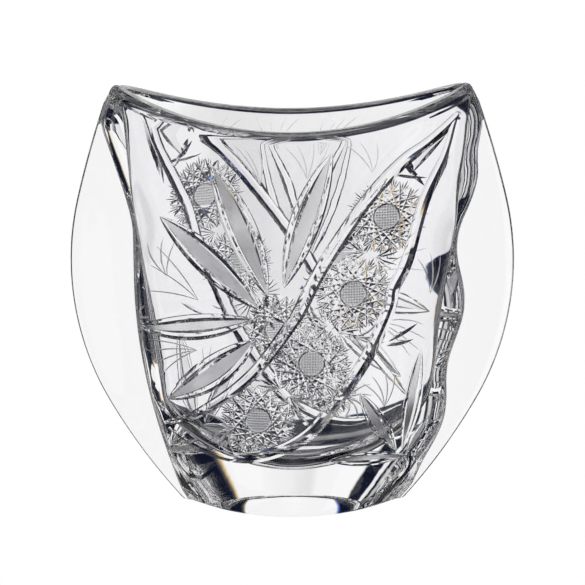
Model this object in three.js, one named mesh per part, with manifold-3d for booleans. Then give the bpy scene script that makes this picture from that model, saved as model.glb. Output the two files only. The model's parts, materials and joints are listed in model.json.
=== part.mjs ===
// Cut crystal vase: one thick-walled piece of clear glass. Its body is a flattened barrel that widens
// into two solid wings, sharp at their outer edges. The rim is saddle-shaped, the foot is ground flat,
// and both faces carry deep wheel cuts.
// The frame is in millimetres: +Z up, X across the wide face, the front face towards -Y, and the
// origin at the middle of the foot's flat underside.

import * as THREE from 'three';
import { mergeVertices } from 'three/addons/utils/BufferGeometryUtils.js';
import Module from 'manifold-3d';

const wasm = await Module();
wasm.setup();

// ---- Driving dimensions ----

// Side outline seen from the front: three arcs, each tangent to the next
const WIDEST_HALF_WIDTH = 107.7;
const WIDEST_HEIGHT = 119.8;
const BELLY_RADIUS = 142.5;
const SHOULDER_RADIUS = 525;
const SHOULDER_START = THREE.MathUtils.degToRad(13.75);
const FLANK_RADIUS = 295;
const FLANK_START = THREE.MathUtils.degToRad(28.65);

// Half-depth on the middle line, from the foot up to the belly
const BELLY_HALF_DEPTH = 32.5;
const FOOT_HALF_DEPTH = 29.5;
const FULL_DEPTH_HEIGHT = 90;

// The body between the wings: it widens up to its full height and flares again under the rim
const BODY_FOOT_HALF_WIDTH = 55;
const BODY_HALF_WIDTH = 77;
const BODY_FULL_HEIGHT = 115;
const BODY_FLARE_START = 137;
const BODY_FLARE = 0.021;
const BODY_FLARE_EASING = 0.0574;
const BODY_LIP = 1;
const BODY_BLEND = 1.2;

// The hand-worked right side of the body stands further out than the left, and waves a little
const RIGHT_OFFSET = 4.9;
const RIGHT_WAVE = 2.2;
const RIGHT_WAVE_LENGTH = 58;
const RIGHT_WAVE_CREST = 99;
const RIGHT_FADE_START = 165;
const RIGHT_FADE_END = 195;

// Section of the body, at the foot and above it: its share of the full depth just inside the
// shoulder, and how square the shoulder is
const SECTION_HEIGHT = 50;
const SHOULDER_SHARE = [0.28, 0.4];
const SHOULDER_POWER = [6, 16];

// The wings: thickness lost on each face per unit of width, and how tight the fillet to the body is
const WING_TAPER = 0.2;
const WING_FILLET_POWER = 8;

// Rim: a concave arc through the middle, with rounded tips where it meets the side edges
const RIM_MIDDLE_HEIGHT = 191.2;
const RIM_RADIUS = 205;
const TIP_RADIUS = 3.5;

// Cavity
const CAVITY_FLOOR_HEIGHT = 20;
const CAVITY_FLOOR_RADIUS = 94;
const CAVITY_SHOULDER_HEIGHT = 42;
const CAVITY_LOW_HALF_WIDTH = 57;
const CAVITY_RIGHT_OFFSET = 3.6;
const CAVITY_FLARE = 0.117;
const FOOT_WALL = 8;
const RIM_WALL = 6.8;
const CAVITY_END_SHARE = 0.15;
const CAVITY_END_POWER = 12;
const CAVITY_FLOOR_POWER = 3;

// Facet counts of the solid
const BODY_STEPS = 9;
const BODY_CROWDING = 2;
const WING_STEPS = 2;
const BODY_LEVEL_HEIGHT = 8;
const CAVITY_SIDE_STEPS = 24;
const CAVITY_FLOOR_RISES = [0.3, 2, 6, 13];
const CAVITY_STRAIGHT_LEVELS = 8;
const RIM_STEPS = 14;
const TIP_STEPS = 6;
const OVERSHOOT = 12;

// ---- Wheel cuts on one face, as points [x, z] on that face ----

// The two long mitre cuts that sweep from the right tip down to the left corner of the foot
const UPPER_SWEEP = [[77, 195], [52, 176], [36, 159], [18, 133], [0, 100], [-20, 73], [-44, 53], [-62, 43]];
const LOWER_SWEEP = [[77, 192], [63, 157], [55, 128], [46, 104], [35, 80], [19, 57], [-9, 34], [-45, 33], [-62, 41]];
const SWEEP_WIDTH = 6;
const SWEEP_DEPTH = 2.6;

// Petals of the flower, and the leaves of the small spray: tip, base, width
const PETALS = [
  { tip: [-38, 176], base: [-12, 113], width: 13 },
  { tip: [-63, 149], base: [-16, 106], width: 13 },
  { tip: [-75, 92], base: [-19, 101], width: 11 },
  { tip: [-61, 57], base: [-18, 91], width: 13 },
  { tip: [19, 182], base: [-4, 117], width: 12 },
];
const SPRAY_LEAVES = [
  { tip: [62, 83], base: [53, 32], width: 9 },
  { tip: [32, 63], base: [50, 33], width: 9 },
  { tip: [17, 30], base: [55, 28], width: 8 },
  { tip: [60, 48], base: [54, 30], width: 5 },
];
const CORNER_LEAVES = [
  { tip: [57, 171], base: [73, 188], width: 4 },
  { tip: [66, 160], base: [76, 186], width: 3.5 },
];
const LEAF_DEPTH_RATIO = 0.22;

// Round studs at the middle of each star, ground just below the face
const STARS = [[45, 149], [29, 113], [9, 79], [-17, 50]];
const STUD_RADIUS = 6;
const STUD_DEPTH = 1;
const STUD_SIDES = 16;

// The cutting wheel reaches this far outside the glass
const WHEEL_CLEARANCE = 3;
const SWEEP_STATIONS = 18;
const LEAF_STATIONS = 8;

// ---- Shape of the glass ----

// Half-width of the side outline at height z
function halfWidth(z) {
  const centreX = WIDEST_HALF_WIDTH - BELLY_RADIUS;
  const rise = z - WIDEST_HEIGHT;
  const shoulderRise = BELLY_RADIUS * Math.sin(SHOULDER_START);
  const flankDrop = BELLY_RADIUS * Math.sin(FLANK_START);
  if (rise > shoulderRise) {
    const excess = BELLY_RADIUS - SHOULDER_RADIUS;
    const x = centreX + excess * Math.cos(SHOULDER_START);
    return x + Math.sqrt(SHOULDER_RADIUS ** 2 - (rise - excess * Math.sin(SHOULDER_START)) ** 2);
  }
  if (rise < -flankDrop) {
    const excess = BELLY_RADIUS - FLANK_RADIUS;
    const x = centreX + excess * Math.cos(FLANK_START);
    return x + Math.sqrt(FLANK_RADIUS ** 2 - (rise + excess * Math.sin(FLANK_START)) ** 2);
  }
  return centreX + Math.sqrt(BELLY_RADIUS ** 2 - rise ** 2);
}

// Half-depth on the middle line at height z
function middleDepth(z) {
  const short = 1 - Math.min(Math.max(z, 0) / FULL_DEPTH_HEIGHT, 1);
  return BELLY_HALF_DEPTH - (BELLY_HALF_DEPTH - FOOT_HALF_DEPTH) * short ** 2;
}

// Half-width of the body between the wings at height z, on the side of the sign given. It keeps
// inside the side outline by a small lip.
function bodyHalfWidth(z, side) {
  const rise = Math.sin((Math.PI / 2) * THREE.MathUtils.clamp(z / BODY_FULL_HEIGHT, 0, 1));
  const above = Math.max(z - BODY_FLARE_START, 0);
  const flare = (BODY_FLARE * above ** 2) / (1 + BODY_FLARE_EASING * above);
  let free = BODY_FOOT_HALF_WIDTH + (BODY_HALF_WIDTH - BODY_FOOT_HALF_WIDTH) * rise + flare;
  if (side > 0) {
    const turns = (z - RIGHT_WAVE_CREST) / RIGHT_WAVE_LENGTH;
    const fade = (z - RIGHT_FADE_START) / (RIGHT_FADE_END - RIGHT_FADE_START);
    const kept = 1 - THREE.MathUtils.clamp(fade, 0, 1);
    free += kept * (RIGHT_OFFSET + RIGHT_WAVE * Math.cos(2 * Math.PI * turns));
  }
  const most = halfWidth(z) - BODY_LIP;
  const gap = (most - free) / BODY_BLEND;
  return most - BODY_BLEND * (Math.max(gap, 0) + Math.log1p(Math.exp(-Math.abs(gap))));
}

// Distance of the face from the XZ plane: the body's crowned section, filleted into the wing
function faceDepth(x, z) {
  const high = THREE.MathUtils.clamp(z / SECTION_HEIGHT, 0, 1);
  const share = THREE.MathUtils.lerp(...SHOULDER_SHARE, high);
  const power = THREE.MathUtils.lerp(...SHOULDER_POWER, high);
  const across = Math.min(Math.abs(x) / bodyHalfWidth(z, x), 1);
  const body = middleDepth(z) * (1 - (1 - share) * across ** 2) * Math.sqrt(1 - across ** power);
  const wing = WING_TAPER * Math.max(halfWidth(z) - Math.abs(x), 0);
  return (body ** WING_FILLET_POWER + wing ** WING_FILLET_POWER) ** (1 / WING_FILLET_POWER);
}

// Height of the rim above the foot at x
function rimHeight(x) {
  return RIM_MIDDLE_HEIGHT + RIM_RADIUS - Math.sqrt(RIM_RADIUS ** 2 - x ** 2);
}

// ---- Solids ----

function toManifold(geometry) {
  const bare = geometry.clone();
  bare.deleteAttribute('normal');
  bare.deleteAttribute('uv');
  const merged = mergeVertices(bare, 1e-4);
  const vertProperties = new Float32Array(merged.attributes.position.array);
  const triVerts = new Uint32Array(merged.index.array);
  return new wasm.Manifold(new wasm.Mesh({ numProp: 3, vertProperties, triVerts }));
}

function toGeometry(solid) {
  const mesh = solid.getMesh();
  const geometry = new THREE.BufferGeometry();
  geometry.setAttribute('position', new THREE.BufferAttribute(new Float32Array(mesh.vertProperties), 3));
  geometry.setIndex(new THREE.BufferAttribute(new Uint32Array(mesh.triVerts), 1));
  geometry.computeVertexNormals();
  return geometry;
}

// A closed skin over a stack of rings with equal point counts, capped by a fan at each end.
// Each ring runs anticlockwise seen from the last ring looking back to the first.
function stackRings(rings) {
  const count = rings[0].length;
  const positions = rings.flat().flatMap((point) => point.toArray());
  const indices = [];
  for (let level = 0; level < rings.length - 1; level += 1) {
    for (let i = 0; i < count; i += 1) {
      const a = level * count + i;
      const b = level * count + ((i + 1) % count);
      indices.push(a, b, b + count, a, b + count, a + count);
    }
  }
  const capEnds = [
    { ring: rings[0], start: 0, turn: -1 },
    { ring: rings[rings.length - 1], start: (rings.length - 1) * count, turn: 1 },
  ];
  for (const { ring, start, turn } of capEnds) {
    const middle = new THREE.Vector3();
    ring.forEach((point) => middle.add(point));
    middle.divideScalar(count);
    const hub = positions.length / 3;
    positions.push(...middle.toArray());
    for (let i = 0; i < count; i += 1) {
      const a = start + i;
      const b = start + ((i + 1) % count);
      indices.push(hub, turn > 0 ? a : b, turn > 0 ? b : a);
    }
  }
  const geometry = new THREE.BufferGeometry();
  geometry.setAttribute('position', new THREE.Float32BufferAttribute(positions, 3));
  geometry.setIndex(indices);
  return geometry;
}

// One horizontal ring through points given by an angle: cosine along X, sine along Y
function sectionRing(steps, pointAt) {
  const ring = [];
  for (let i = 0; i < 2 * steps; i += 1) {
    ring.push(pointAt((Math.PI * i) / steps));
  }
  return ring;
}

function outerBody() {
  const top = rimHeight(WIDEST_HALF_WIDTH);
  const levels = Math.ceil(top / BODY_LEVEL_HEIGHT);
  const rings = [];
  for (let level = 0; level <= levels; level += 1) {
    const z = (top * level) / levels;

    // Points from the middle out to one side edge, crowded at the body's shoulder
    const reachTo = (side) => {
      const body = bodyHalfWidth(z, side);
      const reach = [];
      for (let i = 1; i <= BODY_STEPS; i += 1) {
        reach.push(side * body * (1 - (1 - i / BODY_STEPS) ** BODY_CROWDING));
      }
      for (let i = 1; i <= WING_STEPS; i += 1) {
        reach.push(side * THREE.MathUtils.lerp(body, halfWidth(z), i / WING_STEPS));
      }
      return reach;
    };
    const across = [...reachTo(-1).reverse(), 0, ...reachTo(1)];
    const back = [...across].reverse().map((x) => new THREE.Vector3(x, faceDepth(x, z), z));
    const front = across.slice(1, -1).map((x) => new THREE.Vector3(x, -faceDepth(x, z), z));
    rings.push([...back, ...front]);
  }
  return toManifold(stackRings(rings));
}

// Everything above the rim arc and outside the rounded tips, as one outline extruded through in Y
function aboveRim() {
  const excess = BELLY_RADIUS - SHOULDER_RADIUS;
  const sideX = WIDEST_HALF_WIDTH - BELLY_RADIUS + excess * Math.cos(SHOULDER_START);
  const sideZ = WIDEST_HEIGHT + excess * Math.sin(SHOULDER_START);
  const rimZ = RIM_MIDDLE_HEIGHT + RIM_RADIUS;

  // The tip circle touches the rim arc from outside it and the side arc from inside it
  const reachRim = RIM_RADIUS + TIP_RADIUS;
  const reachSide = SHOULDER_RADIUS - TIP_RADIUS;
  const between = Math.hypot(sideX, rimZ - sideZ);
  const along = (reachSide ** 2 - reachRim ** 2 + between ** 2) / (2 * between);
  const off = Math.sqrt(reachSide ** 2 - along ** 2);
  const towards = [-sideX / between, (rimZ - sideZ) / between];
  const tipX = sideX + along * towards[0] + off * towards[1];
  const tipZ = sideZ + along * towards[1] - off * towards[0];

  const rimAngle = Math.atan2(tipX, rimZ - tipZ);
  const sideAngle = Math.atan2(tipZ - sideZ, tipX - sideX);
  const far = WIDEST_HALF_WIDTH + OVERSHOOT;
  const high = tipZ + 4 * OVERSHOOT;
  const half = [];
  for (let i = 1; i <= RIM_STEPS; i += 1) {
    const angle = (rimAngle * i) / RIM_STEPS;
    half.push([RIM_RADIUS * Math.sin(angle), rimZ - RIM_RADIUS * Math.cos(angle)]);
  }
  const tipStart = Math.PI / 2 + rimAngle;
  for (let i = 1; i <= TIP_STEPS; i += 1) {
    const angle = THREE.MathUtils.lerp(tipStart, sideAngle, i / TIP_STEPS);
    half.push([tipX + TIP_RADIUS * Math.cos(angle), tipZ + TIP_RADIUS * Math.sin(angle)]);
  }
  const edge = half[half.length - 1];
  half.push([far, edge[1]], [far, high]);
  const mirrored = half.map(([x, z]) => [-x, z]).reverse();
  const outline = [...mirrored, [0, RIM_MIDDLE_HEIGHT], ...half].map(([x, z]) => new THREE.Vector2(x, z));
  const depth = 2 * (BELLY_HALF_DEPTH + OVERSHOOT);
  const geometry = new THREE.ExtrudeGeometry(new THREE.Shape(outline), { depth, bevelEnabled: false });
  geometry.rotateX(Math.PI / 2);
  geometry.translate(0, depth / 2, 0);
  return toManifold(geometry);
}

// The hollow: crowned sections with blunt ends that flare towards the rim, over a floor that curves
// up sideways
function cavity() {
  const top = rimHeight(WIDEST_HALF_WIDTH) + OVERSHOOT;
  const rings = [];
  const heights = CAVITY_FLOOR_RISES.map((rise) => CAVITY_FLOOR_HEIGHT + rise);
  for (let level = 0; level <= CAVITY_STRAIGHT_LEVELS; level += 1) {
    heights.push(THREE.MathUtils.lerp(CAVITY_SHOULDER_HEIGHT, top, level / CAVITY_STRAIGHT_LEVELS));
  }
  const floorSpan = CAVITY_SHOULDER_HEIGHT - CAVITY_FLOOR_HEIGHT;
  for (const z of heights) {
    const below = Math.max((CAVITY_SHOULDER_HEIGHT - z) / floorSpan, 0);
    const rounding = (1 - below ** CAVITY_FLOOR_POWER) ** (1 / CAVITY_FLOOR_POWER);
    const climb = (z - CAVITY_FLOOR_HEIGHT) / (RIM_MIDDLE_HEIGHT - CAVITY_FLOOR_HEIGHT);
    const up = THREE.MathUtils.clamp(climb, 0, 1);
    const wall = THREE.MathUtils.lerp(FOOT_WALL, RIM_WALL, up);
    const sideReach = CAVITY_LOW_HALF_WIDTH + CAVITY_FLARE * (z - CAVITY_FLOOR_HEIGHT);
    const frontReach = (middleDepth(z) - wall) * rounding;
    rings.push(sectionRing(CAVITY_SIDE_STEPS, (angle) => {
      const across = Math.sin((Math.PI / 2) * Math.cos(angle));
      const x = (sideReach * across + CAVITY_RIGHT_OFFSET * Math.max(across, 0) ** 2) * rounding;
      const crown = 1 - (1 - CAVITY_END_SHARE) * across ** 2;
      const blunt = Math.sqrt(Math.max(1 - Math.abs(across) ** CAVITY_END_POWER, 0));
      const lift = (x ** 2 / (2 * CAVITY_FLOOR_RADIUS)) * (1 - up) ** 2;
      const y = Math.sign(Math.sin(angle).toFixed(9)) * frontReach * crown * blunt;
      return new THREE.Vector3(x, y, z + lift);
    }));
  }
  return toManifold(stackRings(rings));
}

// ---- Wheel cuts ----

// A point on the front face (turn 1), or on the back face (turn -1) as seen from behind, and the
// direction out of the glass there
function faceFrame([x, z], turn) {
  const step = 0.5;
  const depthAt = (dx, dz) => faceDepth(turn * (x + dx), z + dz);
  const slopeX = (depthAt(step, 0) - depthAt(-step, 0)) / (2 * step);
  const slopeZ = (depthAt(0, step) - depthAt(0, -step)) / (2 * step);
  const point = new THREE.Vector3(turn * x, -turn * depthAt(0, 0), z);
  const outward = new THREE.Vector3(-turn * slopeX, -turn, -slopeZ).normalize();
  return { point, outward };
}

// The space a V-edged wheel sweeps along a path: one triangular section per station, its tip in the
// glass and its two shoulders clear of the face
function vCut(path, turn, widthAt, depthAt) {
  const frames = path.map((point) => faceFrame(point, turn));
  const rings = frames.map(({ point, outward }, i) => {
    const before = frames[Math.max(i - 1, 0)].point;
    const after = frames[Math.min(i + 1, frames.length - 1)].point;
    const along = after.clone().sub(before).normalize();
    const aside = new THREE.Vector3().crossVectors(outward, along).normalize();
    const t = i / (frames.length - 1);
    const depth = depthAt(t);
    const shoulder = (widthAt(t) / 2) * (1 + WHEEL_CLEARANCE / depth);
    return [
      point.clone().addScaledVector(outward, -depth),
      point.clone().addScaledVector(outward, WHEEL_CLEARANCE).addScaledVector(aside, shoulder),
      point.clone().addScaledVector(outward, WHEEL_CLEARANCE).addScaledVector(aside, -shoulder),
    ];
  });
  return toManifold(stackRings(rings));
}

function sweepCut(points, turn) {
  const curve = new THREE.SplineCurve(points.map(([x, z]) => new THREE.Vector2(x, z)));
  const path = curve.getSpacedPoints(SWEEP_STATIONS).map(({ x, y }) => [x, y]);
  const taper = (t) => Math.max(Math.sin(Math.PI * t) ** 0.4, 0.15);
  return vCut(path, turn, (t) => SWEEP_WIDTH * taper(t), (t) => SWEEP_DEPTH * taper(t));
}

function leafCut({ tip, base, width }, turn) {
  const path = [];
  for (let i = 0; i <= LEAF_STATIONS; i += 1) {
    const t = i / LEAF_STATIONS;
    path.push([THREE.MathUtils.lerp(tip[0], base[0], t), THREE.MathUtils.lerp(tip[1], base[1], t)]);
  }
  const belly = (t) => Math.max(Math.sin(Math.PI * t), 0.04);
  return vCut(path, turn, (t) => width * belly(t), (t) => width * LEAF_DEPTH_RATIO * belly(t));
}

// A flat-bottomed round recess, square to the face
function studCut(centre, turn) {
  const { point, outward } = faceFrame(centre, turn);
  const height = STUD_DEPTH + WHEEL_CLEARANCE;
  const geometry = new THREE.CylinderGeometry(STUD_RADIUS, STUD_RADIUS, height, STUD_SIDES);
  geometry.applyQuaternion(new THREE.Quaternion().setFromUnitVectors(new THREE.Vector3(0, 1, 0), outward));
  const middle = point.clone().addScaledVector(outward, height / 2 - STUD_DEPTH);
  geometry.translate(middle.x, middle.y, middle.z);
  return toManifold(geometry);
}

// ---- Assembly: the body, less the rim's sweep, the hollow, and the same cuts on both faces ----

function faceCuts(turn) {
  return [
    ...[UPPER_SWEEP, LOWER_SWEEP].map((points) => sweepCut(points, turn)),
    ...[...PETALS, ...SPRAY_LEAVES, ...CORNER_LEAVES].map((leaf) => leafCut(leaf, turn)),
    ...STARS.map((centre) => studCut(centre, turn)),
  ].reduce((all, cut) => all.add(cut));
}

const vaseSolid = outerBody()
  .subtract(aboveRim())
  .subtract(cavity())
  .subtract(faceCuts(1))
  .subtract(faceCuts(-1));

const crystal = new THREE.MeshStandardMaterial({
  color: 0xeef2f5,
  roughness: 0.02,
  metalness: 0,
  transparent: true,
  opacity: 0.35,
});

const vaseBody = new THREE.Mesh(toGeometry(vaseSolid), crystal);
vaseBody.name = 'vase_body';

const vase = new THREE.Group();
vase.add(vaseBody);

export default vase;
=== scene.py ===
"""Cut crystal vase: the clear, wheel-cut glass that stands for the CAD solid vase_body.

Lengths inside the builders are millimetres in the CAD frame (+Z up, front face towards -Y, origin
under the middle of the foot). MM turns them into Blender's metres as a mesh is written.
"""
import json
import math

import bmesh
import bpy
import numpy as np
from mathutils import Matrix, Vector

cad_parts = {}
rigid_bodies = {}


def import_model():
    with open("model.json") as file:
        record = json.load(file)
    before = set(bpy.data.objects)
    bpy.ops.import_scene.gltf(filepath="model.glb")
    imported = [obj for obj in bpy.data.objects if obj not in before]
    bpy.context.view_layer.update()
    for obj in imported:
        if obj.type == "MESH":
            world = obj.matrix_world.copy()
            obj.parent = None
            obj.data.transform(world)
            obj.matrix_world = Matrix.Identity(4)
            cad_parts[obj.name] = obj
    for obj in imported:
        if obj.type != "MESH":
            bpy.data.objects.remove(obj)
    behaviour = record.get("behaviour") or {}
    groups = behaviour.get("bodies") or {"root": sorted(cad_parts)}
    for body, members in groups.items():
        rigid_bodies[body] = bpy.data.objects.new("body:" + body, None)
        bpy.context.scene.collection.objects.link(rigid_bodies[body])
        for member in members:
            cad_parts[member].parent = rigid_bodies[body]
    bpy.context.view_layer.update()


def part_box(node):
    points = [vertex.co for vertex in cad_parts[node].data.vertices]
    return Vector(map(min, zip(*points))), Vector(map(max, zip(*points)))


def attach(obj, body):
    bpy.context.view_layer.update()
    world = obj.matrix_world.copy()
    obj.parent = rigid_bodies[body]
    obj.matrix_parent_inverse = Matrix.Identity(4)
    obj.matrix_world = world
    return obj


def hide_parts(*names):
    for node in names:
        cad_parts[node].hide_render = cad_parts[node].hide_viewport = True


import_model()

MM = 0.001

# ---- Driving sizes, from the frame ----

NODE = "vase_body"
low_corner, high_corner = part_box(NODE)
# The fillets into the wings thicken the middle of the body by this much
FILLET_SWELL = 0.15
WIDEST_HALF_WIDTH = (high_corner[0] - low_corner[0]) / 2 / MM
BELLY_HALF_DEPTH = (high_corner[1] - low_corner[1]) / 2 / MM - FILLET_SWELL
TIP_HEIGHT = high_corner[2] / MM

# Side outline: three arcs, each tangent to the next
WIDEST_HEIGHT = 119.8
BELLY_RADIUS = 142.5
SHOULDER_RADIUS = 525.0
SHOULDER_START = math.radians(13.75)
FLANK_RADIUS = 295.0
FLANK_START = math.radians(28.65)

# Depth of the body on the middle line
FOOT_HALF_DEPTH = BELLY_HALF_DEPTH - 3.0
FULL_DEPTH_HEIGHT = 90.0

# Half-width of the body between the wings, which flares again near the rim
BODY_FOOT_HALF_WIDTH = 55.0
BODY_HALF_WIDTH = 77.0
BODY_FULL_HEIGHT = 115.0
BODY_FLARE_START = 137.0
BODY_FLARE = 0.021
BODY_FLARE_EASING = 0.0574
BODY_LIP = 1.0
BODY_BLEND = 1.2
# The hand-worked right side stands further out and waves a little
RIGHT_OFFSET = 4.9
RIGHT_WAVE = 2.2
RIGHT_WAVE_LENGTH = 58.0
RIGHT_WAVE_CREST = 99.0
RIGHT_FADE = (165.0, 195.0)
HOLLOW_RIGHT_OFFSET = 3.6
# Section of the body, at the foot and from SECTION_HEIGHT up: depth left at the shoulder, and bluntness
SECTION_HEIGHT = 50.0
BODY_SHOULDER_SHARE = (0.1, 0.4)
BODY_SHOULDER_POWER = (6.0, 16.0)

# The wings: blades that taper to the side edge
WING_TAPER = 0.2
WING_FILLET_POWER = 8.0

# Rim
RIM_MIDDLE_HEIGHT = TIP_HEIGHT - 17.8
RIM_RADIUS = 205.0
TIP_RADIUS = 3.5
RIM_OUTER_ROUNDING = 5.0
RIM_INNER_ROUNDING = 0.6

# Hollow
FLOOR_HEIGHT = 20.0
FLOOR_RADIUS = 94.0
HOLLOW_SHOULDER_HEIGHT = 42.0
HOLLOW_LOW_HALF_WIDTH = 57.0
HOLLOW_FLARE = 0.117
FOOT_WALL = 8.0
RIM_WALL = 6.8
HOLLOW_END_SHARE = 0.15
HOLLOW_END_POWER = 12.0
HOLLOW_FLOOR_POWER = 2.6

# Polished edges
SIDE_EDGE_ROUNDING = 2.0
FOOT_BEVEL = 1.0

# Mesh fineness
FACE_STEPS = 120
BODY_SHARE = 0.8
BODY_CROWDING = 2.2
WING_CROWDING = 1.6
EDGE_STEPS = 6
WALL_LEVELS = 60
RIM_LEVELS = 14
RIM_INNER_LEVELS = 4
FOOT_BEVEL_TURNS = (0, 30, 60)
HOLLOW_LEVELS = 44
FLOOR_LEVELS = 16
SETTLE_ROUNDS = 25
SETTLE_PACE = 0.7


# ---- Shape of the glass ----

def half_width(z):
    """Half-width of the side outline at height z."""
    centre_x = WIDEST_HALF_WIDTH - BELLY_RADIUS
    rise = z - WIDEST_HEIGHT
    if rise > BELLY_RADIUS * math.sin(SHOULDER_START):
        excess = BELLY_RADIUS - SHOULDER_RADIUS
        x = centre_x + excess * math.cos(SHOULDER_START)
        return x + math.sqrt(SHOULDER_RADIUS ** 2 - (rise - excess * math.sin(SHOULDER_START)) ** 2)
    if rise < -BELLY_RADIUS * math.sin(FLANK_START):
        excess = BELLY_RADIUS - FLANK_RADIUS
        x = centre_x + excess * math.cos(FLANK_START)
        return x + math.sqrt(FLANK_RADIUS ** 2 - (rise + excess * math.sin(FLANK_START)) ** 2)
    return centre_x + math.sqrt(BELLY_RADIUS ** 2 - rise ** 2)


def middle_depth(z):
    """Half-depth of the glass on the middle line at height z."""
    short = 1 - min(max(z, 0) / FULL_DEPTH_HEIGHT, 1)
    return BELLY_HALF_DEPTH - (BELLY_HALF_DEPTH - FOOT_HALF_DEPTH) * short ** 2


def body_half_width(z, side):
    """Half-width of the body between the wings at height z, on the side of the sign given."""
    rise = math.sin(math.pi / 2 * min(max(z, 0) / BODY_FULL_HEIGHT, 1))
    above = max(z - BODY_FLARE_START, 0)
    flare = BODY_FLARE * above ** 2 / (1 + BODY_FLARE_EASING * above)
    free = BODY_FOOT_HALF_WIDTH + (BODY_HALF_WIDTH - BODY_FOOT_HALF_WIDTH) * rise + flare
    if side > 0:
        wave = math.cos(2 * math.pi * (z - RIGHT_WAVE_CREST) / RIGHT_WAVE_LENGTH)
        fade = min(max((z - RIGHT_FADE[0]) / (RIGHT_FADE[1] - RIGHT_FADE[0]), 0), 1)
        free += (1 - fade) * (RIGHT_OFFSET + RIGHT_WAVE * wave)
    most = half_width(z) - BODY_LIP
    gap = (most - free) / BODY_BLEND
    return most - BODY_BLEND * (max(gap, 0) + math.log1p(math.exp(-abs(gap))))


def wing_edge(z, inset=0.0):
    """Where the two faces of a wing would meet if its edge were not rounded."""
    return half_width(z) - inset + SIDE_EDGE_ROUNDING * (1 / math.sin(math.atan(WING_TAPER)) - 1)


def face_depth(x, z, inset=0.0):
    """Distance of the face from the XZ plane: the body's crowned section, filleted into the wing."""
    side, x = math.copysign(1, x), abs(x)
    high = min(max(z, 0) / SECTION_HEIGHT, 1)
    share = BODY_SHOULDER_SHARE[0] + (BODY_SHOULDER_SHARE[1] - BODY_SHOULDER_SHARE[0]) * high
    power = BODY_SHOULDER_POWER[0] + (BODY_SHOULDER_POWER[1] - BODY_SHOULDER_POWER[0]) * high
    across = min(x / (body_half_width(z, side) - inset), 1)
    body = (middle_depth(z) - inset) * (1 - (1 - share) * across ** 2) * math.sqrt(1 - across ** power)
    wing = WING_TAPER * max(wing_edge(z, inset) - x, 0)
    fillet = WING_FILLET_POWER
    return (body ** fillet + wing ** fillet) ** (1 / fillet)


def tip_circle():
    """Centre of the small circle that rounds the tip between the rim arc and the side arc."""
    excess = BELLY_RADIUS - SHOULDER_RADIUS
    side_x = WIDEST_HALF_WIDTH - BELLY_RADIUS + excess * math.cos(SHOULDER_START)
    side_z = WIDEST_HEIGHT + excess * math.sin(SHOULDER_START)
    rim_z = RIM_MIDDLE_HEIGHT + RIM_RADIUS
    reach_rim = RIM_RADIUS + TIP_RADIUS
    reach_side = SHOULDER_RADIUS - TIP_RADIUS
    between = math.hypot(side_x, rim_z - side_z)
    along = (reach_side ** 2 - reach_rim ** 2 + between ** 2) / (2 * between)
    off = math.sqrt(reach_side ** 2 - along ** 2)
    towards_x, towards_z = -side_x / between, (rim_z - side_z) / between
    return side_x + along * towards_x + off * towards_z, side_z + along * towards_z - off * towards_x


TIP_X, TIP_Z = tip_circle()


def rim_height(x):
    """Height of the rim's crest at x, rounded over at the tips."""
    x = abs(x)
    touch_x = RIM_RADIUS * TIP_X / (RIM_RADIUS + TIP_RADIUS)
    if x <= touch_x:
        return RIM_MIDDLE_HEIGHT + RIM_RADIUS - math.sqrt(RIM_RADIUS ** 2 - x ** 2)
    return TIP_Z + math.sqrt(max(TIP_RADIUS ** 2 - (x - TIP_X) ** 2, 0))


def outer_point(station, z, inset=0.0):
    """Outer skin at ring station (kind, side, value) and height z."""
    kind, side, value = station
    wedge = math.atan(WING_TAPER)
    radius = SIDE_EDGE_ROUNDING
    centre = wing_edge(z, inset) - radius / math.sin(wedge)
    if kind == "edge":
        angle = value * (math.pi / 2 - wedge)
        return side * (centre + radius * math.cos(angle)), side * radius * math.sin(angle)
    touch = centre + radius * math.sin(wedge)
    way, share = math.copysign(1, value), abs(value)
    body = min(body_half_width(z, way) - inset, touch)
    if share < BODY_SHARE:
        x = body * (1 - (1 - share / BODY_SHARE) ** BODY_CROWDING)
    else:
        x = body + (touch - body) * ((share - BODY_SHARE) / (1 - BODY_SHARE)) ** WING_CROWDING
    return way * x, side * face_depth(way * x, z, inset)


def ring_stations():
    """Ring stations, anticlockwise from the middle of the edge at +X: half an edge, a face, an edge."""
    stations = []
    half_edge = EDGE_STEPS // 2
    stations += [("edge", 1, i / half_edge) for i in range(half_edge)]
    stations += [("face", 1, 1 - 2 * i / FACE_STEPS) for i in range(FACE_STEPS + 1)]
    stations += [("edge", -1, i / half_edge) for i in range(1 - half_edge, half_edge)]
    stations += [("face", -1, 2 * i / FACE_STEPS - 1) for i in range(FACE_STEPS + 1)]
    stations += [("edge", 1, i / half_edge) for i in range(1 - half_edge, 0)]
    return stations


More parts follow.
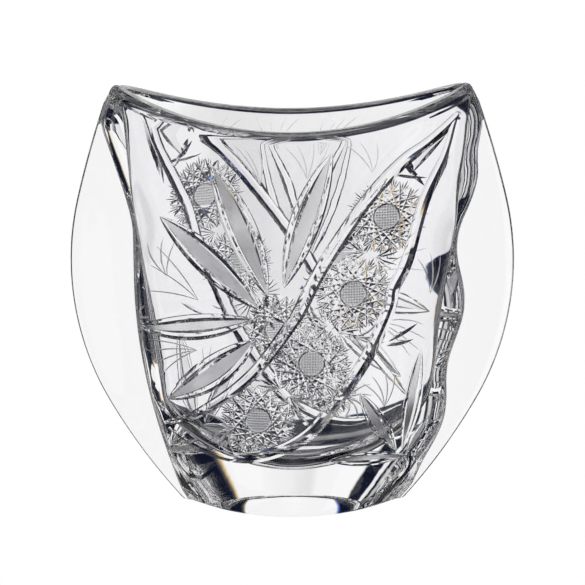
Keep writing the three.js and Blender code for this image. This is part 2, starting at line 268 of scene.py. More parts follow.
def hollow_point(angle, z):
    """Hollow's skin at ring angle and height z: a crowned section with blunt ends, over a floor that is
    rounded into the walls. The floor's bowl lifts the points towards the sides."""
    below = max((HOLLOW_SHOULDER_HEIGHT - z) / (HOLLOW_SHOULDER_HEIGHT - FLOOR_HEIGHT), 0)
    rounding = max(1 - below ** HOLLOW_FLOOR_POWER, 0) ** (1 / HOLLOW_FLOOR_POWER)
    up = min(max((z - FLOOR_HEIGHT) / (RIM_MIDDLE_HEIGHT - FLOOR_HEIGHT), 0), 1)
    wall = FOOT_WALL + (RIM_WALL - FOOT_WALL) * up
    across = math.sin(math.pi / 2 * math.cos(angle))
    reach = HOLLOW_LOW_HALF_WIDTH + HOLLOW_FLARE * (z - FLOOR_HEIGHT)
    x = (reach * across + HOLLOW_RIGHT_OFFSET * max(across, 0) ** 2) * rounding
    crown = 1 - (1 - HOLLOW_END_SHARE) * across ** 2
    blunt = math.sqrt(max(1 - abs(across) ** HOLLOW_END_POWER, 0))
    y = math.copysign((middle_depth(z) - wall) * (crown * blunt) * rounding, math.sin(angle))
    return x, y, z + x * x / (2 * FLOOR_RADIUS) * (1 - up) ** 2


def settle(height_of_x, point_at, start):
    """Height z where the skin point_at(z) meets the crest height_of_x, by repeated substitution."""
    z = start
    for _ in range(SETTLE_ROUNDS):
        z = z + SETTLE_PACE * (height_of_x(point_at(z)[0]) - z)
    return z


def rim_roundings(thickness):
    """Radii of the rim's inner and outer edge, on a wall of this thickness."""
    inner = min(RIM_INNER_ROUNDING, thickness / 4)
    return inner, min(RIM_OUTER_ROUNDING, thickness - inner)


def rim_drop(distance, thickness):
    """How far the polished rim falls below its crest, which is near the inner edge, at a distance in
    from the outer face."""
    inner, outer = rim_roundings(thickness)
    if distance < outer:
        return outer - math.sqrt(max(outer ** 2 - (outer - distance) ** 2, 0))
    edge = thickness - distance
    if edge < inner:
        return inner - math.sqrt(max(inner ** 2 - (inner - edge) ** 2, 0))
    return 0.0


def skin_column(station, angle):
    """Points up the outside, over the rim and down the hollow, at one place round the vase."""
    crest_out = settle(rim_height, lambda z: outer_point(station, z), RIM_MIDDLE_HEIGHT)
    crest_in = settle(rim_height, lambda z: hollow_point(angle, z), RIM_MIDDLE_HEIGHT)
    out_x, out_y = outer_point(station, crest_out)
    in_x, in_y, _ = hollow_point(angle, crest_in)
    thickness = math.hypot(out_x - in_x, out_y - in_y)
    inner, outer = rim_roundings(thickness)
    column = []
    for turn in FOOT_BEVEL_TURNS:
        inset = FOOT_BEVEL * (1 - math.sin(math.radians(turn)))
        z = FOOT_BEVEL * (1 - math.cos(math.radians(turn)))
        column.append((*outer_point(station, z, inset), z))
    top_out = crest_out - outer
    for level in range(WALL_LEVELS + 1):
        z = FOOT_BEVEL + (top_out - FOOT_BEVEL) * level / WALL_LEVELS
        column.append((*outer_point(station, z), z))
    distances = [outer * (1 - math.cos(math.pi / 2 * i / RIM_LEVELS)) for i in range(1, RIM_LEVELS + 1)]
    distances += [thickness - inner * (1 - math.sin(math.pi / 2 * i / RIM_INNER_LEVELS))
                  for i in range(RIM_INNER_LEVELS)]
    for distance in distances:
        share = distance / thickness
        x = out_x + (in_x - out_x) * share
        y = out_y + (in_y - out_y) * share
        column.append((x, y, rim_height(x) - rim_drop(distance, thickness)))
    top_in = crest_in - inner
    for level in range(HOLLOW_LEVELS + 1):
        z = top_in + (HOLLOW_SHOULDER_HEIGHT - top_in) * level / HOLLOW_LEVELS
        column.append(hollow_point(angle, z))
    for level in range(1, FLOOR_LEVELS):
        below = math.sin(math.pi / 2 * level / FLOOR_LEVELS) ** (2 / HOLLOW_FLOOR_POWER)
        z = HOLLOW_SHOULDER_HEIGHT - (HOLLOW_SHOULDER_HEIGHT - FLOOR_HEIGHT) * below
        column.append(hollow_point(angle, z))
    return column


def vase_skin():
    """Points and faces of the uncut vase: a column of quads at every ring station, closed by the foot's
    underside and by a fan at the middle of the hollow's floor."""
    stations = ring_stations()
    count = len(stations)
    columns = [skin_column(station, 2 * math.pi * i / count) for i, station in enumerate(stations)]
    height = len(columns[0])
    points = [point for column in columns for point in column]
    floor_point = len(points)
    points.append((0.0, 0.0, FLOOR_HEIGHT))
    quads = []
    fan = []
    for i in range(count):
        here, there = i * height, (i + 1) % count * height
        for k in range(height - 1):
            quads.append((here + k, there + k, there + k + 1, here + k + 1))
        fan.append((here + height - 1, there + height - 1, floor_point))
    foot = tuple(i * height for i in reversed(range(count)))
    return points, quads + fan + [foot]


def new_mesh(name, points, faces):
    mesh = bpy.data.meshes.new(name)
    mesh.from_pydata([tuple(c * MM for c in p) for p in points], [], faces)
    mesh.validate()
    return mesh


# ---- Wheel cuts ----

# Every cut is drawn as (x, z) in millimetres on the front face, or on the back face as seen from
# behind. A cut's finish is the material slot that its walls take. Its shape stands clear of the face.
POLISHED, SATIN = 1, 2
FRONT, BACK = 1, -1
BOTH = (FRONT, BACK)
CLEARANCE = 3.0
SLOPE_STEP = 0.5

# The wheel's edge, as (share of the half-width, share of the depth): a sharp V, and a worn round edge
V_EDGE = ((0.0, 1.0),)
ROUND_EDGE = ((-0.66, 0.72), (-0.26, 1.0), (0.26, 1.0), (0.66, 0.72))

cuts = []


def face_frame(x, z, face):
    """Point of the face at x, z, and the direction out of the glass there."""
    step = SLOPE_STEP
    slope_x = (face_depth(face * (x + step), z) - face_depth(face * (x - step), z)) / (2 * step)
    slope_z = (face_depth(face * x, z + step) - face_depth(face * x, z - step)) / (2 * step)
    outward = Vector((-face * slope_x, -face, -slope_z)).normalized()
    return Vector((face * x, -face * face_depth(face * x, z), z)), outward


def spline(points, steps):
    """Smooth path through given points: Catmull-Rom, evenly stepped in parameter."""
    pts = [np.array(p, float) for p in points]
    pts = [2 * pts[0] - pts[1]] + pts + [2 * pts[-1] - pts[-2]]
    path = []
    spans = len(pts) - 3
    for i in range(steps + 1):
        t = spans * i / steps
        k = min(int(t), spans - 1)
        u = t - k
        a, b, c, d = pts[k:k + 4]
        path.append(0.5 * (2 * b + (c - a) * u + (2 * a - 5 * b + 4 * c - d) * u * u
                           + (3 * b - a - 3 * c + d) * u ** 3))
    return path


def v_cut(path, face, width_at, depth_at, lean=0.0, edge=V_EDGE):
    """Closed section of the cutting wheel swept along a path: its edge in the glass, its shoulders clear
    of the face. lean moves the deepest point sideways by that share of the half-width."""
    frames = [face_frame(x, z, face) for x, z in path]
    points = []
    last = len(frames) - 1
    for i, (point, outward) in enumerate(frames):
        along = (frames[min(i + 1, last)][0] - frames[max(i - 1, 0)][0]).normalized()
        aside = outward.cross(along).normalized()
        t = i / last
        depth, half = depth_at(t), width_at(t) / 2
        section = [(half * (share + lean * down), -depth * down) for share, down in edge]
        for sign, (low_aside, low) in ((1, section[-1]), (-1, section[0])):
            reach = CLEARANCE / -low
            section.append((sign * half + (sign * half - low_aside) * reach, CLEARANCE))
        points += [point + aside * off + outward * up for off, up in section]
    count = len(edge) + 2
    faces = []
    for i in range(last):
        for a in range(count):
            b = (a + 1) % count
            first, second = count * i + a, count * i + b
            faces.append((first, second, count + second, count + first))
    faces.append(tuple(reversed(range(count))))
    faces.append(tuple(range(count * last, count * (last + 1))))
    return points, faces


def canoe(power=1.0, least=0.05):
    """Profile of a wheel cut from end to end: a least share at the ends, full in the middle."""
    return lambda t: max(math.sin(math.pi * min(max(t, 0), 1)) ** power, least)


def even(t):
    """Profile of a cut that is the same all the way."""
    return 1.0


def line(start, end, steps):
    dx, dz = end[0] - start[0], end[1] - start[1]
    return [(start[0] + dx * i / steps, start[1] + dz * i / steps) for i in range(steps + 1)]


def around(centre, radius, turn):
    """Point at a share of a turn round a circle."""
    angle = 2 * math.pi * turn
    return centre[0] + radius * math.cos(angle), centre[1] + radius * math.sin(angle)


def bowed(start, end, bow, steps):
    """Path from start to end that bows to its left by bow."""
    dx, dz = end[0] - start[0], end[1] - start[1]
    length = math.hypot(dx, dz)
    nx, nz = -dz / length, dx / length
    path = []
    for i in range(steps + 1):
        t = i / steps
        off = bow * 4 * t * (1 - t)
        path.append((start[0] + dx * t + nx * off, start[1] + dz * t + nz * off))
    return path


def disc_cut(centre, face, radius, depth, sides):
    """A flat-bottomed round recess, square to the face."""
    point, outward = face_frame(*centre, face)
    across = outward.cross(Vector((0, 0, 1))).normalized()
    up = across.cross(outward).normalized()
    points = []
    for height in (-depth, CLEARANCE):
        for i in range(sides):
            angle = 2 * math.pi * i / sides
            aside = across * (radius * math.cos(angle)) + up * (radius * math.sin(angle))
            points.append(point + outward * height + aside)
    faces = [(i, (i + 1) % sides, sides + (i + 1) % sides, sides + i) for i in range(sides)]
    faces.append(tuple(reversed(range(sides))))
    faces.append(tuple(range(sides, 2 * sides)))
    return points, faces


def add_cut(shape_on, finish=POLISHED, faces=BOTH):
    """Keep a cut for each face. shape_on makes it on a face. finish is one finish, or two for the two
    walls of a V."""
    for face in faces:
        cuts.append((shape_on(face), finish))


def mitre(path, width, depth, shape=even, finish=POLISHED, lean=0.0, faces=BOTH, edge=V_EDGE):
    """A wheel cut along a path, with its width and depth swelling as shape says."""
    def shape_on(face):
        return v_cut(path, face, lambda t: width * shape(t), lambda t: depth * shape(t), lean, edge)

    add_cut(shape_on, finish, faces)


def short_cut(start, end, width, depth, steps=6):
    mitre(line(start, end, steps), width, depth, canoe(0.8))


# The two long sweeps from the right tip down to the left corner of the foot, on each face
FRONT_UPPER_SWEEP = [(80, 198), (77, 195), (65, 185), (52, 176), (36, 159), (18, 133), (9, 117),
                     (0, 100), (-20, 73), (-44, 53), (-63, 43)]
BACK_UPPER_SWEEP = [(80, 198), (58, 186), (38, 173), (19, 152), (0, 128), (-18, 100), (-40, 72),
                    (-62, 48)]
FRONT_LOWER_SWEEP = [(79, 197), (77, 192), (73, 178), (63, 157), (55, 128), (48, 114), (46, 104),
                     (35, 80), (19, 57), (7, 43), (-9, 34), (-26, 30), (-45, 33), (-61, 41)]
BACK_LOWER_SWEEP = [(79, 197), (76, 192), (69, 176), (55, 148), (49, 126), (43, 110), (38, 98),
                    (28, 77), (14, 57), (2, 43), (-13, 35), (-29, 31), (-47, 34), (-60, 41)]
SWEEP_WIDTH = 7.0
SWEEP_DEPTH = 2.4
SWEEP_STEPS = 120


def cut_sweeps():
    for points, face in ((FRONT_UPPER_SWEEP, FRONT), (BACK_UPPER_SWEEP, BACK),
                         (FRONT_LOWER_SWEEP, FRONT), (BACK_LOWER_SWEEP, BACK)):
        path = spline(points, SWEEP_STEPS)
        mitre(path, SWEEP_WIDTH, SWEEP_DEPTH, canoe(0.3, 0.2), faces=(face,), edge=ROUND_EDGE)


PETAL_STEPS = 28
BLADE_DEPTH_SHARE = 0.2
BLADE_LEAN = 0.62
BORDER_OVERLAP = 0.25
BORDER_DEPTH_SHARE = 0.36


def cut_petal(tip, base, width, bow, steep, border, faces=BOTH):
    """A leaf: a satin blade with one steep polished wall, between two bowed mitres. steep, 1 or -1,
    tells which side of the blade has the steep wall."""
    blade_width = width - (2 - BORDER_OVERLAP) * border
    finish = (POLISHED, SATIN) if steep > 0 else (SATIN, POLISHED)
    mitre(bowed(tip, base, bow, PETAL_STEPS), blade_width, blade_width * BLADE_DEPTH_SHARE,
          canoe(0.8, 0.03), finish, BLADE_LEAN * steep, faces)
    for side in (1, -1):
        path = bowed(tip, base, bow + side * (width - border) / 2, PETAL_STEPS)
        mitre(path, border, border * BORDER_DEPTH_SHARE, canoe(0.45, 0.12), POLISHED, 0.0, faces, ROUND_EDGE)


# Petals and leaves: tip, base, width, bow, steep side
FRONT_PETALS = [
    ((-38, 176), (-12, 113), 15.5, 1.0, 1),
    ((-63, 149), (-16, 106), 15.5, 1.0, 1),
    ((-75, 92), (-19, 101), 13.0, -1.0, -1),
    ((-61, 57), (-18, 91), 15.5, -1.0, 1),
    ((19, 182), (-4, 117), 15.0, -1.0, -1),
]
BACK_PETALS = [
    ((-31, 178), (-9, 116), 13.0, 1.0, 1),
    ((-60, 148), (-17, 108), 14.0, 1.0, 1),
    ((-73, 92), (-19, 101), 12.0, -1.0, -1),
    ((-58, 58), (-19, 90), 13.0, -1.0, 1),
    ((16, 178), (-3, 120), 14.0, -1.0, -1),
]
# The spray at the lower right, and its side leaf, which differs from face to face: the same, and border
FRONT_SIDE_LEAF = ((66, 47), (55, 28), 6.5, 0.0, -1, 2.0)
BACK_SIDE_LEAF = ((58, 47), (53, 29), 5.0, 0.0, -1, 1.6)
SPRAY = [
    ((62, 83), (53, 31), 9.0, 0.5, 1),
    ((32, 63), (50, 31), 9.0, 0.0, 1),
    ((17, 29), (55, 27), 8.0, 0.5, -1),
]
PETAL_BORDER = 4.0
SPRAY_BORDER = 2.2

# Small leaves beside the stem and the stars: tip, base
LEAFLETS = [
    ((-10, 66), (-1, 58)), ((0, 57), (9, 45)), ((54, 178), (58, 171)), ((47, 171), (64, 168)),
    ((52, 177), (63, 164)), ((60, 96), (46, 88)), ((58, 88), (45, 86)), ((-30, 62), (-22, 52)),
]

# Heart of the flower: short cuts that stand out from a small bud, above a notched stem
HEART = (-12, 104)
HEART_CUTS = 9
BUD_RADIUS = 2.5
STEM_NOTCHES = 5


def cut_flower():
    for petals, face in ((FRONT_PETALS, FRONT), (BACK_PETALS, BACK)):
        for tip, base, width, bow, steep in petals:
            cut_petal(tip, base, width, bow, steep, PETAL_BORDER, (face,))
    for tip, base, width, bow, steep in SPRAY:
        cut_petal(tip, base, width, bow, steep, SPRAY_BORDER)
    cut_petal(*FRONT_SIDE_LEAF, (FRONT,))
    cut_petal(*BACK_SIDE_LEAF, (BACK,))
    # Two narrow leaves under the right tip
    mitre(bowed((57, 171), (73, 188), 1.5, 14), 5.0, 1.1, canoe(0.7), (SATIN, POLISHED), -0.5)
    mitre(bowed((66, 158), (77, 187), 1.0, 14), 3.6, 1.3, canoe(0.7))


def cut_heart():
    for i in range(HEART_CUTS):
        turn = (i + 0.3) / HEART_CUTS
        reach = 4.5 + 1.5 * (i % 3)
        short_cut(around(HEART, BUD_RADIUS, turn), around(HEART, BUD_RADIUS + reach, turn), 2.2, 1.0)
    mitre(bowed((-9, 92), (-25, 69), 1.5, 12), 2.6, 1.1, canoe(0.4))
    mitre(bowed((-6, 92), (-20, 70), 1.5, 12), 2.0, 0.9, canoe(0.4))
    for notch in range(STEM_NOTCHES):
        x = -11 - 2.6 * notch
        z = 88 - 4 * notch
        short_cut((x, z), (x + 6, z - 2), 1.4, 0.6)


def cut_leaflets():
    for tip, base in LEAFLETS:
        short_cut(tip, base, 2.6, 1.1, 8)


HAIRLINE = (0.7, 0.16)
BOLD_LINE = (1.3, 0.35)
FAN_BOW = 1.5


def cut_fan(hub, ends, size=HAIRLINE):
    """Lines that spread from a hub. size is their width and depth."""
    for end in ends:
        mitre(bowed(end, hub, FAN_BOW, 10), *size, canoe(0.4, 0.2), SATIN)


def cut_fans():
    cut_fan((-45, 109), [(-68, 124), (-69, 111), (-65, 134)])
    cut_fan((-46, 84), [(-70, 86), (-70, 80), (-67, 74), (-63, 70)])
    cut_fan((-15, 167), [(-33, 187), (-27, 186), (-22, 184), (-16, 185)])
    cut_fan((7, 170), [(2, 187), (10, 190), (-4, 186), (18, 188)])
    cut_fan((38, 172), [(32, 187), (40, 186), (25, 186)])
    cut_fan((-30, 44), [(-42, 52), (-43, 46), (-40, 38), (-36, 34), (-29, 33)], BOLD_LINE)
    cut_fan((30, 92), [(40, 98), (43, 93), (44, 88), (41, 82)], BOLD_LINE)
    cut_fan((66, 110), [(60, 128), (66, 130), (71, 128)])
    cut_fan((44, 55), [(33, 68), (38, 71), (44, 73), (49, 72)])


STARS = [(45, 150), (29, 113), (9, 79), (-17, 50)]
STAR_RADIUS = 18.0
STAR_POINTS = 18
# Chords of a star: how many points each skips, its width and its depth. They are deeper on the back.
STAR_CHORDS = ((7, 2.3, 0.62), (5, 1.4, 0.3))
CHORD_DEPTH_SHARE = {FRONT: 1.0, BACK: 1.7}
# Split fan at a star's point: where its three cuts start and end, as shares of the star's radius
FAN_START = 0.72
FAN_ENDS = {0.25: 1.02, 0.5: 1.12, 0.75: 1.02}
# Satin stud in the middle, sunk inside a ring, with a crosshatch at its bottom
STUD_RADIUS = 5.8
STUD_DEPTH = 0.3
STUD_STEPS = 28
RING_OFFSET = 0.5
HATCH_PITCH = 1.3
HATCH_WIDTH = 0.55
HATCH_DEPTH = 0.14
# Fans between one star and the next
FILL_HUB = 3.0
FILL_REACH = 11.0
FILL_SPREAD = math.radians(17)
FILL_CUTS = 3


def cut_stud(centre):
    """A crosshatched satin stud inside a polished ring."""
    ring = [around(centre, STUD_RADIUS + RING_OFFSET, i / STUD_STEPS) for i in range(STUD_STEPS + 1)]
    mitre(ring, 1.5, 1.0)
    add_cut(lambda face: disc_cut(centre, face, STUD_RADIUS, STUD_DEPTH, STUD_STEPS), SATIN)
    depth = STUD_DEPTH + HATCH_DEPTH
    width = HATCH_WIDTH * depth / HATCH_DEPTH
    lines = int(STUD_RADIUS / HATCH_PITCH)
    for i in range(-lines, lines + 1):
        off = i * HATCH_PITCH
        reach = math.sqrt(STUD_RADIUS ** 2 - off ** 2)
        for ends in (((off, -reach), (off, reach)), ((-reach, off), (reach, off))):
            path = [(centre[0] + x, centre[1] + z) for x, z in ends]
            mitre(line(*path, 2), width, depth, even, SATIN)


def cut_star(centre):
    """A hobstar: crossing mitres from point to point, with a short split fan at every point."""
    points = [(i + 0.5) / STAR_POINTS for i in range(STAR_POINTS)]
    for skip, width, depth in STAR_CHORDS:
        for turn in points:
            start = around(centre, STAR_RADIUS, turn)
            end = around(centre, STAR_RADIUS, turn + skip / STAR_POINTS)
            for face in BOTH:
                deep = depth * CHORD_DEPTH_SHARE[face]
                mitre(line(start, end, 8), width, deep, canoe(0.5, 0.1), faces=(face,))
    for turn in points:
        for split, reach in FAN_ENDS.items():
            start = around(centre, STAR_RADIUS * FAN_START, turn + 0.5 / STAR_POINTS)
            end = around(centre, STAR_RADIUS * reach, turn + split / STAR_POINTS)
            short_cut(start, end, 1.1, 0.3, 4)
    cut_stud(centre)


def cut_fill(upper, lower):
    """Two short fans, back to back, that fill the band between one star and the next."""
    along = math.atan2(upper[1] - lower[1], upper[0] - lower[0])
    middle = ((upper[0] + lower[0]) / 2, (upper[1] + lower[1]) / 2)
    for side in (1, -1):
        hub = around(middle, FILL_HUB * side, (along + math.pi / 2) / (2 * math.pi))
        for i in range(-FILL_CUTS, FILL_CUTS + 1):
            turn = (along + side * math.pi / 2 + FILL_SPREAD * i) / (2 * math.pi)
            short_cut(hub, around(hub, FILL_REACH, turn), 1.5, 0.42, 5)


def cut_stars():
    for centre in STARS:
        cut_star(centre)
    for upper, lower in zip(STARS, STARS[1:]):
        cut_fill(upper, lower)


def build_cuts():
    cut_sweeps()
    cut_flower()
    cut_heart()
    cut_leaflets()
    cut_fans()
    cut_stars()


# ---- Materials ----

GLASS_TINT = (0.993, 0.990, 1.0, 1)
LEAD_GLASS_IOR = 1.545
BUMP_HEIGHT = 0.0004


def glass_material(name, roughness, grain, unevenness):
    """Clear glass with a noise in its surface: grain is how fine it is and unevenness how strong."""
    material = bpy.data.materials.new(name)
    material.use_nodes = True
    nodes, links = material.node_tree.nodes, material.node_tree.links
    shader = nodes["Principled BSDF"]
    shader.inputs["Base Color"].default_value = GLASS_TINT
    shader.inputs["Roughness"].default_value = roughness
    shader.inputs["IOR"].default_value = LEAD_GLASS_IOR
    shader.inputs["Transmission Weight"].default_value = 1.0
    place = nodes.new("ShaderNodeTexCoord")
    noise = nodes.new("ShaderNodeTexNoise")
    noise.inputs["Scale"].default_value = grain
    noise.inputs["Detail"].default_value = 3
    bump = nodes.new("ShaderNodeBump")
    bump.inputs["Strength"].default_value = unevenness
    bump.inputs["Distance"].default_value = BUMP_HEIGHT
    links.new(place.outputs["Object"], noise.inputs["Vector"])
    links.new(noise.outputs["Fac"], bump.inputs["Height"])
    links.new(bump.outputs["Normal"], shader.inputs["Normal"])
    return material


def make_materials():
    """The skin's slots: fire-polished glass, and the POLISHED and SATIN finishes of the cuts."""
    clear = glass_material("crystal_clear", 0.0, grain=45, unevenness=0.4)
    cut = glass_material("crystal_cut", 0.0, grain=900, unevenness=0.04)
    satin = glass_material("crystal_satin", 0.28, grain=2600, unevenness=0.4)
    return [clear, cut, satin]


# ---- The vase ----

SHARP = math.radians(22)
CUT_SHARP = math.radians(14)
STRAIGHT_DOWN = -0.999


def shade_by_angle(mesh):
    """Smooth shading, with hard edges where two faces meet at a marked angle, which is smaller on a
    cut, and all round the foot's ground underside."""
    work = bmesh.new()
    work.from_mesh(mesh)
    for face in work.faces:
        face.smooth = True
    for edge in work.edges:
        limit = CUT_SHARP if any(face.material_index for face in edge.link_faces) else SHARP
        ground = any(face.normal.z < STRAIGHT_DOWN for face in edge.link_faces)
        edge.smooth = not ground and len(edge.link_faces) == 2 and edge.calc_face_angle(0) < limit
    work.to_mesh(mesh)
    work.free()


def make_cutters(materials, collection):
    """One object for every cut. A V has three faces a step, and its second wall is every third one."""
    for index, ((points, faces), finish) in enumerate(cuts):
        left, right = finish if isinstance(finish, tuple) else (finish, finish)
        mesh = new_mesh(f"cut_{index}", points, faces)
        mesh.materials.append(materials[left])
        if right != left:
            mesh.materials.append(materials[right])
            for face in list(mesh.polygons)[2::3]:
                face.material_index = 1
        collection.objects.link(bpy.data.objects.new(mesh.name, mesh))


def make_vase(materials):
    points, faces = vase_skin()
    skin = new_mesh("vase_glass", points, faces)
    for material in materials:
        skin.materials.append(material)
    vase = bpy.data.objects.new("vase_glass", skin)
    bpy.context.scene.collection.objects.link(vase)
    shade_by_angle(skin)

    build_cuts()
    wheel = bpy.data.collections.new("wheel_cuts")
    bpy.context.scene.collection.children.link(wheel)
    make_cutters(materials, wheel)
    modifier = vase.modifiers.new("wheel", "BOOLEAN")
    modifier.operation = "DIFFERENCE"
    modifier.operand_type = "COLLECTION"
    modifier.collection = wheel
    modifier.solver = "MANIFOLD"
    modifier.material_mode = "TRANSFER"
    evaluated = vase.evaluated_get(bpy.context.evaluated_depsgraph_get())
    cut_mesh = bpy.data.meshes.new_from_object(evaluated)
    vase.modifiers.clear()
    vase.data = cut_mesh
    cut_mesh.name = "vase_glass"
    for cutter in list(wheel.objects):
        bpy.data.objects.remove(cutter)
    bpy.data.collections.remove(wheel)
    shade_by_angle(cut_mesh)
    return vase


# ---- Studio ----

CAMERA_ELEVATION = math.radians(15.5)
CAMERA_ROLL = math.radians(0.33)
CAMERA_DISTANCE = 1.5
CAMERA_AIM_HEIGHT = 0.1055
CAMERA_LENS = 189.6
CAMERA_SENSOR = 36
FLOOR_HALF_SIZE = 6.0
FLOOR_GAP = 0.0002

# Colours of the light tent, as the glass sees it
WHITE = (1.0, 1.0, 1.0)
AMBER = (0.85, 0.62, 0.25)
BLUE = (0.12, 0.22, 0.75)
INK = (0.006, 0.008, 0.020)
SMOKE = (0.20, 0.17, 0.16)


def grey(value):
    return (value, value, value)


# The tent at eye level, as (bearing in degrees, colour). Bearing 0 is straight behind the vase.
WALL = [
    # Dim behind the camera, and three panels at the left
    (-180, grey(0.6)), (-165, INK), (-98, INK), (-96, grey(0.8)), (-84, grey(0.8)), (-82, INK),
    (-54, INK), (-53, grey(0.7)), (-44, grey(0.7)), (-43, INK),
    (-39, INK), (-38, WHITE), (-35, WHITE), (-34, INK),
    # The bright wall: a cool left edge, greyer left of the middle, and a warm right edge
    (-25, INK), (-24.6, BLUE), (-24, WHITE), (-8.5, WHITE), (-6, grey(0.84)), (-2, grey(0.84)),
    (3, grey(0.93)), (10, WHITE), (26, WHITE), (26.6, AMBER), (27.2, SMOKE), (30, INK),
    # A panel behind the camera, at its right
    (118, INK), (120, grey(0.8)), (150, grey(0.8)), (152, INK), (165, INK), (180, grey(0.6)),
]
# Above that the wall is narrower
HIGH_WALL = [
    (-180, grey(0.05)), (-100, INK), (-21.5, INK), (-21, BLUE), (-20, WHITE),
    (24, WHITE), (24.8, AMBER), (25.5, INK), (100, INK), (180, grey(0.05)),
]
HIGH_WALL_START = (8, 9)
# The ceiling, with its softbox, and the dark table, as (elevation in degrees, colour)
CEILING = [
    (-90, grey(0)), (27, grey(0.03)), (48, grey(0.05)), (52, WHITE), (90, WHITE),
]
CEILING_START = (25, 27)
TABLE = [
    (-90, INK), (-61, INK), (-57, grey(0.22)), (-47, grey(0.32)), (-43, INK),
    (-25.4, INK), (-25.0, BLUE), (-24.6, WHITE), (90, WHITE),
]
# Beside the bright wall the table's edge lies lower
TABLE_SINK_BEARING = (27.0, 30.0)
TABLE_SINK = 12.0


def make_camera():
    data = bpy.data.cameras.new("camera")
    data.lens = CAMERA_LENS
    data.sensor_width = CAMERA_SENSOR
    camera = bpy.data.objects.new("camera", data)
    bpy.context.scene.collection.objects.link(camera)
    camera.location = (0.0, -CAMERA_DISTANCE * math.cos(CAMERA_ELEVATION),
                       CAMERA_AIM_HEIGHT + CAMERA_DISTANCE * math.sin(CAMERA_ELEVATION))
    aim = Matrix.Rotation(math.pi / 2 - CAMERA_ELEVATION, 3, "X") @ Matrix.Rotation(-CAMERA_ROLL, 3, "Z")
    camera.rotation_euler = aim.to_euler()
    bpy.context.scene.camera = camera


class NodePen:
    """Short words for drawing a node tree."""

    def __init__(self, tree):
        self.nodes, self.links = tree.nodes, tree.links

    def put(self, socket, value):
        if isinstance(value, bpy.types.NodeSocket):
            self.links.new(value, socket)
        elif isinstance(value, tuple):
            socket.default_value = (*value, 1)
        else:
            socket.default_value = value

    def math(self, operation, *values):
        node = self.nodes.new("ShaderNodeMath")
        node.operation = operation
        for socket, value in zip(node.inputs, values):
            self.put(socket, value)
        return node.outputs[0]

    def ramp(self, value, low, high, stops):
        """Colour by value, from stops of (value, colour) between low and high."""
        node = self.nodes.new("ShaderNodeValToRGB")
        ramp = node.color_ramp
        while len(ramp.elements) < len(stops):
            ramp.elements.new(1.0)
        for element, (at, color) in zip(ramp.elements, stops):
            element.position = (at - low) / (high - low)
            element.color = (*color, 1)
        share = self.math("DIVIDE", self.math("SUBTRACT", value, low), high - low)
        self.links.new(share, node.inputs["Fac"])
        return node.outputs["Color"]

    def rise(self, value, start, end):
        """Nothing below start, all above end, for a value in degrees of elevation."""
        return self.ramp(value, -90, 90, [(-90, grey(0)), (start, grey(0)), (end, grey(1)), (90, grey(1))])

    def mix(self, factor, a, b, blend="MIX"):
        node = self.nodes.new("ShaderNodeMix")
        node.data_type = "RGBA"
        node.blend_type = blend
        self.put(node.inputs["Factor"], factor)
        for socket, value in ((node.inputs[6], a), (node.inputs[7], b)):
            self.put(socket, value)
        return node.outputs[2]


def make_floor():
    """A white floor for the eye; light inside the glass goes through it to the tent's own table."""
    size = FLOOR_HALF_SIZE
    corners = [(-size, -size, 0), (size, -size, 0), (size, size, 0), (-size, size, 0)]
    mesh = bpy.data.meshes.new("floor")
    mesh.from_pydata(corners, [], [(0, 1, 2, 3)])
    material = bpy.data.materials.new("floor_white")
    material.use_nodes = True
    nodes, links = material.node_tree.nodes, material.node_tree.links
    nodes.remove(nodes["Principled BSDF"])
    seen = nodes.new("ShaderNodeEmission")
    seen.inputs["Color"].default_value = (1, 1, 1, 1)
    through = nodes.new("ShaderNodeBsdfTransparent")
    path = nodes.new("ShaderNodeLightPath")
    mix = nodes.new("ShaderNodeMixShader")
    links.new(path.outputs["Is Camera Ray"], mix.inputs["Fac"])
    links.new(through.outputs["BSDF"], mix.inputs[1])
    links.new(seen.outputs["Emission"], mix.inputs[2])
    links.new(mix.outputs["Shader"], nodes["Material Output"].inputs["Surface"])
    mesh.materials.append(material)
    floor = bpy.data.objects.new("floor", mesh)
    bpy.context.scene.collection.objects.link(floor)
    floor.location.z = -FLOOR_GAP


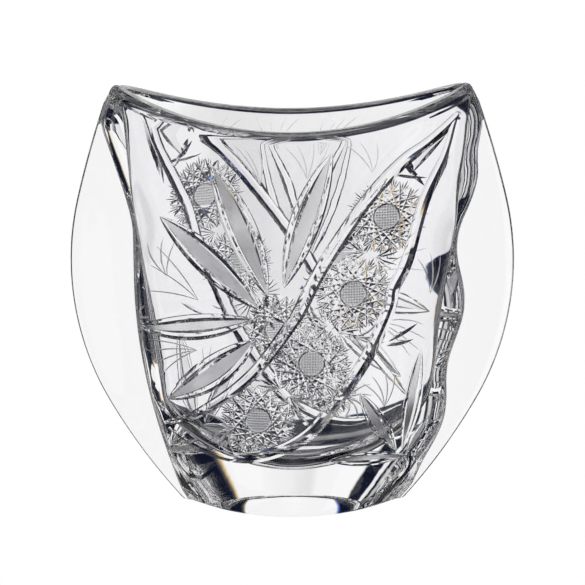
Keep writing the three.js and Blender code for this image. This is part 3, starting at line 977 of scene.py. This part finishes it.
def make_world():
    """White to the camera. To the glass, a light tent in a dark room: a bright wall behind the vase,
    narrow panels round it, a softbox overhead and a dark table below."""
    world = bpy.data.worlds.new("studio")
    bpy.context.scene.world = world
    world.use_nodes = True
    pen = NodePen(world.node_tree)
    nodes, links = pen.nodes, pen.links
    place = nodes.new("ShaderNodeTexCoord")
    split = nodes.new("ShaderNodeSeparateXYZ")
    links.new(place.outputs["Generated"], split.inputs["Vector"])
    x, y, z = (split.outputs[name] for name in "XYZ")
    bearing = pen.math("MULTIPLY", pen.math("ARCTAN2", x, y), 180 / math.pi)
    elevation = pen.math("MULTIPLY", pen.math("ARCSINE", z), 180 / math.pi)

    wall = pen.ramp(bearing, -180, 180, WALL)
    high_wall = pen.ramp(bearing, -180, 180, HIGH_WALL)
    ceiling = pen.ramp(elevation, -90, 90, CEILING)
    wall = pen.mix(pen.rise(elevation, *HIGH_WALL_START), wall, high_wall)
    tent_color = pen.mix(pen.rise(elevation, *CEILING_START), wall, ceiling)

    sink = nodes.new("ShaderNodeMapRange")
    sink.interpolation_type = "SMOOTHSTEP"
    pen.put(sink.inputs["Value"], pen.math("ABSOLUTE", bearing))
    start, end = TABLE_SINK_BEARING
    for name, value in (("From Min", start), ("From Max", end), ("To Min", 0.0), ("To Max", TABLE_SINK)):
        sink.inputs[name].default_value = value
    table = pen.ramp(pen.math("ADD", elevation, sink.outputs["Result"]), -90, 90, TABLE)
    tent_color = pen.mix(1.0, tent_color, table, "MULTIPLY")

    tent = nodes["Background"]
    links.new(tent_color, tent.inputs["Color"])
    white = nodes.new("ShaderNodeBackground")
    white.inputs["Color"].default_value = (1, 1, 1, 1)
    path = nodes.new("ShaderNodeLightPath")
    mix = nodes.new("ShaderNodeMixShader")
    links.new(path.outputs["Is Camera Ray"], mix.inputs["Fac"])
    links.new(tent.outputs["Background"], mix.inputs[1])
    links.new(white.outputs["Background"], mix.inputs[2])
    links.new(mix.outputs["Shader"], nodes["World Output"].inputs["Surface"])


materials = make_materials()
vase = make_vase(materials)
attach(vase, "root")
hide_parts(NODE)

make_camera()
make_floor()
make_world()

scene = bpy.context.scene
scene.view_settings.view_transform = "Standard"
scene.cycles.max_bounces = 32
scene.cycles.transmission_bounces = 32
scene.cycles.glossy_bounces = 16
scene.cycles.transparent_max_bounces = 8
scene.cycles.caustics_refractive = True
scene.cycles.caustics_reflective = True
